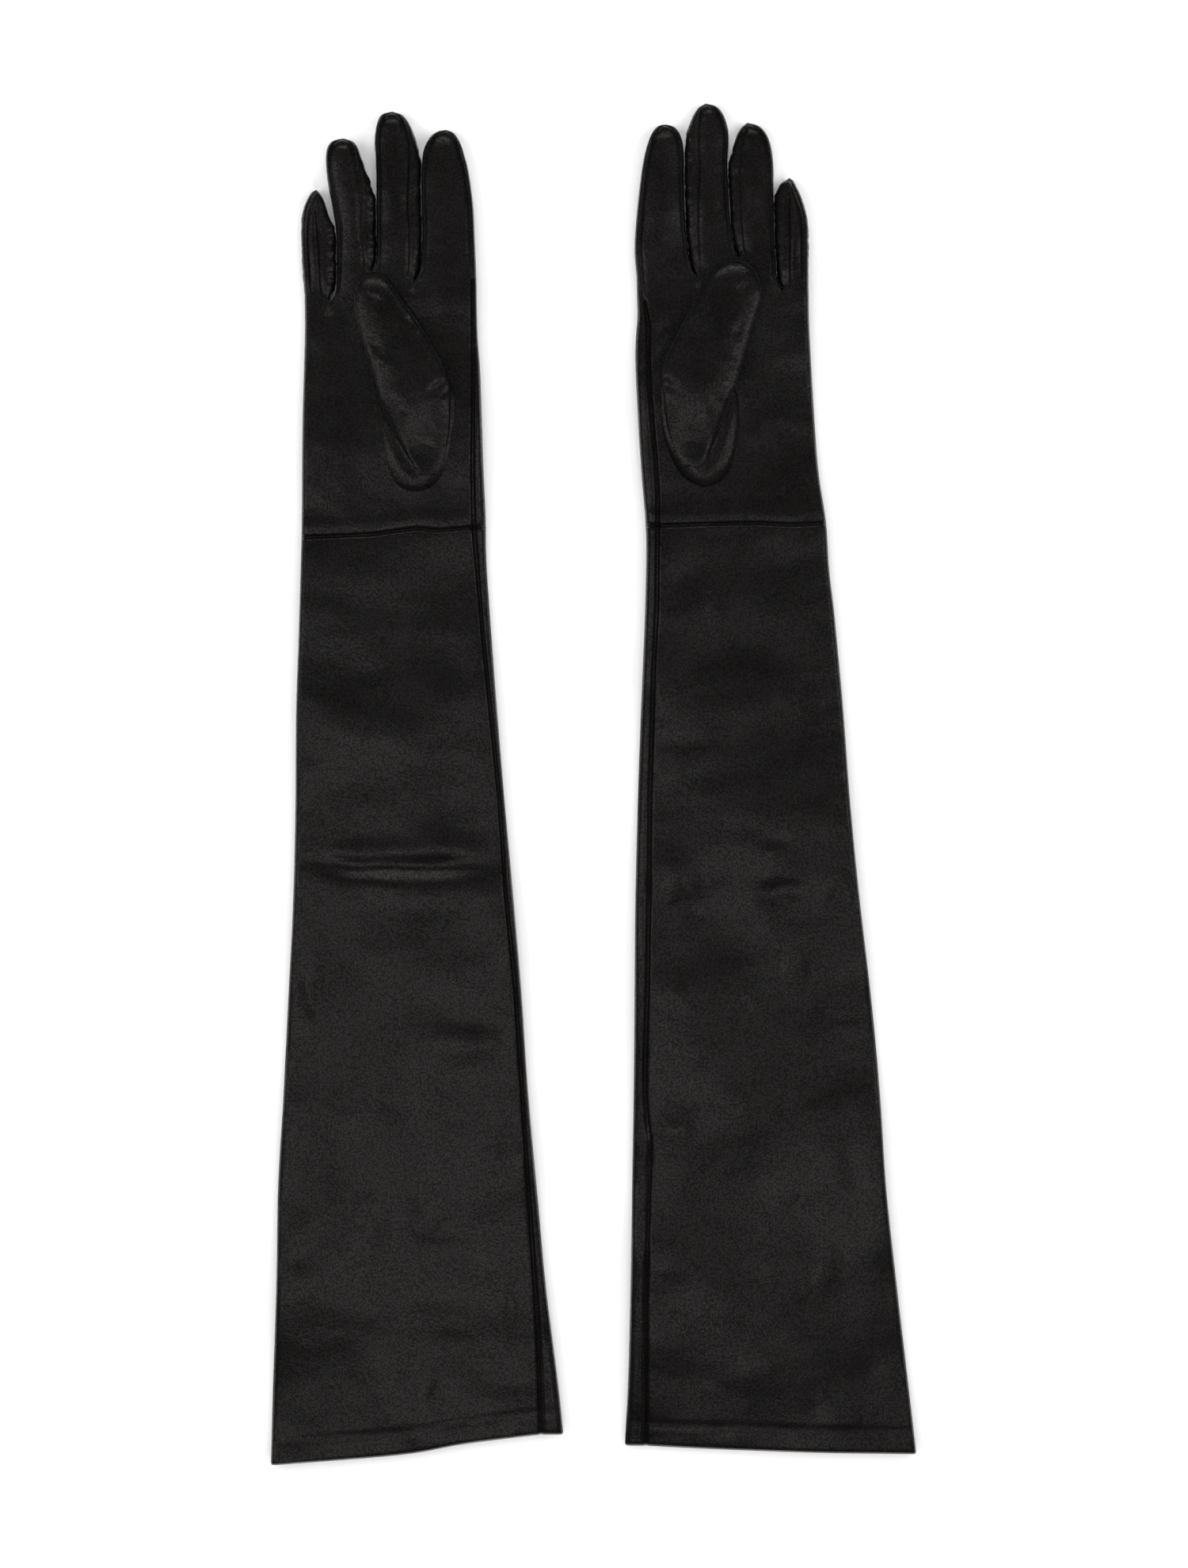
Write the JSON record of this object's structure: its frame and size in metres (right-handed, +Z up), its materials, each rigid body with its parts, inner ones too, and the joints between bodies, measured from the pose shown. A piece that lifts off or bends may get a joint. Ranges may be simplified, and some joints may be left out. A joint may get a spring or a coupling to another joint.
{
  "type": "opera gloves",
  "caption": "Pair of long leather opera gloves lying flat, palms up, with thumbs folded over the palms, fourchettes between the fingers and lined arms.",
  "frame": {"origin": "middle of the pair, on the surface it lies on", "axes": "+Y from the hems towards the fingertips, +Z up through the palms, +X towards the left-hand glove"},
  "size_m": [0.3259, 0.686, 0.0173],
  "materials": {
    "leather": "soft semi-gloss nappa, fine grain",
    "leather_inside": "matt flesh side",
    "lining": "satin",
    "thread": "waxed thread"
  },
  "bodies": {
    "right_forearm": {"right_forearm_panel": "leather", "right_forearm_lining": "lining", "right_wrist_seam_allowance": "leather_inside", "right_forearm_seam_allowance": "leather_inside"},
    "right_upper_arm": {"right_upper_arm_panel": "leather", "right_upper_arm_lining": "lining", "right_hem_facing": "leather_inside", "right_hem_thread": "thread", "right_upper_arm_seam_allowance": "leather_inside"},
    "right_hand": {"right_hand_shell": "leather", "right_thumb_base": "leather", "right_hand_lining": "lining", "right_hand_seam_allowance": "leather_inside"},
    "right_index": {"right_index_finger": "leather", "right_index_fourchette_little_side": "leather", "right_index_lining": "lining"},
    "right_middle": {"right_middle_finger": "leather", "right_middle_fourchette_thumb_side": "leather", "right_middle_fourchette_little_side": "leather", "right_middle_lining": "lining"},
    "right_ring": {"right_ring_finger": "leather", "right_ring_fourchette_thumb_side": "leather", "right_ring_fourchette_little_side": "leather", "right_ring_lining": "lining"},
    "right_little": {"right_little_finger": "leather", "right_little_fourchette_thumb_side": "leather", "right_little_lining": "lining"},
    "right_thumb": {"right_thumb": "leather", "right_thumb_lining": "lining"},
    "left_forearm": {"left_forearm_panel": "leather", "left_forearm_lining": "lining", "left_wrist_seam_allowance": "leather_inside", "left_forearm_seam_allowance": "leather_inside"},
    "left_upper_arm": {"left_upper_arm_panel": "leather", "left_upper_arm_lining": "lining", "left_hem_facing": "leather_inside", "left_hem_thread": "thread", "left_upper_arm_seam_allowance": "leather_inside"},
    "left_hand": {"left_hand_shell": "leather", "left_thumb_base": "leather", "left_hand_lining": "lining", "left_hand_seam_allowance": "leather_inside"},
    "left_index": {"left_index_finger": "leather", "left_index_fourchette_little_side": "leather", "left_index_lining": "lining"},
    "left_middle": {"left_middle_finger": "leather", "left_middle_fourchette_thumb_side": "leather", "left_middle_fourchette_little_side": "leather", "left_middle_lining": "lining"},
    "left_ring": {"left_ring_finger": "leather", "left_ring_fourchette_thumb_side": "leather", "left_ring_fourchette_little_side": "leather", "left_ring_lining": "lining"},
    "left_little": {"left_little_finger": "leather", "left_little_fourchette_thumb_side": "leather", "left_little_lining": "lining"},
    "left_thumb": {"left_thumb": "leather", "left_thumb_lining": "lining"}
  },
  "joints": [
    {"name": "right_wrist_fold", "type": "hinge", "parent": "right_forearm", "child": "right_hand", "pos_m": [-0.101, 0.127, 0.0095], "axis": [1, 0, 0], "range_deg": [0, 70]},
    {"name": "right_arm_fold", "type": "hinge", "parent": "right_forearm", "child": "right_upper_arm", "pos_m": [-0.09625, -0.048, 0.009], "axis": [-1, 0, 0], "range_deg": [0, 120]},
    {"name": "right_index_flex", "type": "hinge", "parent": "right_hand", "child": "right_index", "pos_m": [-0.074, 0.257, 0.011], "axis": [1, 0, 0], "range_deg": [0, 80]},
    {"name": "right_middle_flex", "type": "hinge", "parent": "right_hand", "child": "right_middle", "pos_m": [-0.1002, 0.257, 0.011], "axis": [1, 0, 0], "range_deg": [0, 80]},
    {"name": "right_ring_flex", "type": "hinge", "parent": "right_hand", "child": "right_ring", "pos_m": [-0.1209, 0.257, 0.011], "axis": [1, 0, 0], "range_deg": [0, 80]},
    {"name": "right_little_flex", "type": "hinge", "parent": "right_hand", "child": "right_little", "pos_m": [-0.1387, 0.246, 0.011], "axis": [1, 0, 0], "range_deg": [0, 80]},
    {"name": "right_thumb_lift", "type": "hinge", "parent": "right_hand", "child": "right_thumb", "pos_m": [-0.0886, 0.186, 0.0173], "axis": [0.9516, 0.3074, 0], "range_deg": [0, 80]},
    {"name": "left_wrist_fold", "type": "hinge", "parent": "left_forearm", "child": "left_hand", "pos_m": [0.072, 0.1305, 0.0095], "axis": [1, 0, 0], "range_deg": [0, 70]},
    {"name": "left_arm_fold", "type": "hinge", "parent": "left_forearm", "child": "left_upper_arm", "pos_m": [0.0776, -0.048, 0.009], "axis": [-1, 0, 0], "range_deg": [0, 120]},
    {"name": "left_index_flex", "type": "hinge", "parent": "left_hand", "child": "left_index", "pos_m": [0.0358, 0.265, 0.011], "axis": [1, 0, 0], "range_deg": [0, 80]},
    {"name": "left_middle_flex", "type": "hinge", "parent": "left_hand", "child": "left_middle", "pos_m": [0.0617, 0.265, 0.011], "axis": [1, 0, 0], "range_deg": [0, 80]},
    {"name": "left_ring_flex", "type": "hinge", "parent": "left_hand", "child": "left_ring", "pos_m": [0.0823, 0.265, 0.011], "axis": [1, 0, 0], "range_deg": [0, 80]},
    {"name": "left_little_flex", "type": "hinge", "parent": "left_hand", "child": "left_little", "pos_m": [0.1007, 0.251, 0.011], "axis": [1, 0, 0], "range_deg": [0, 80]},
    {"name": "left_thumb_lift", "type": "hinge", "parent": "left_hand", "child": "left_thumb", "pos_m": [0.053, 0.19, 0.0173], "axis": [0.9516, -0.3074, 0], "range_deg": [0, 80]},
    {"name": "left_glove_lift", "type": "slide", "parent": "right_forearm", "child": "left_forearm", "axis": [0, 0, 1], "range_m": [0, 0.12]}
  ]
}
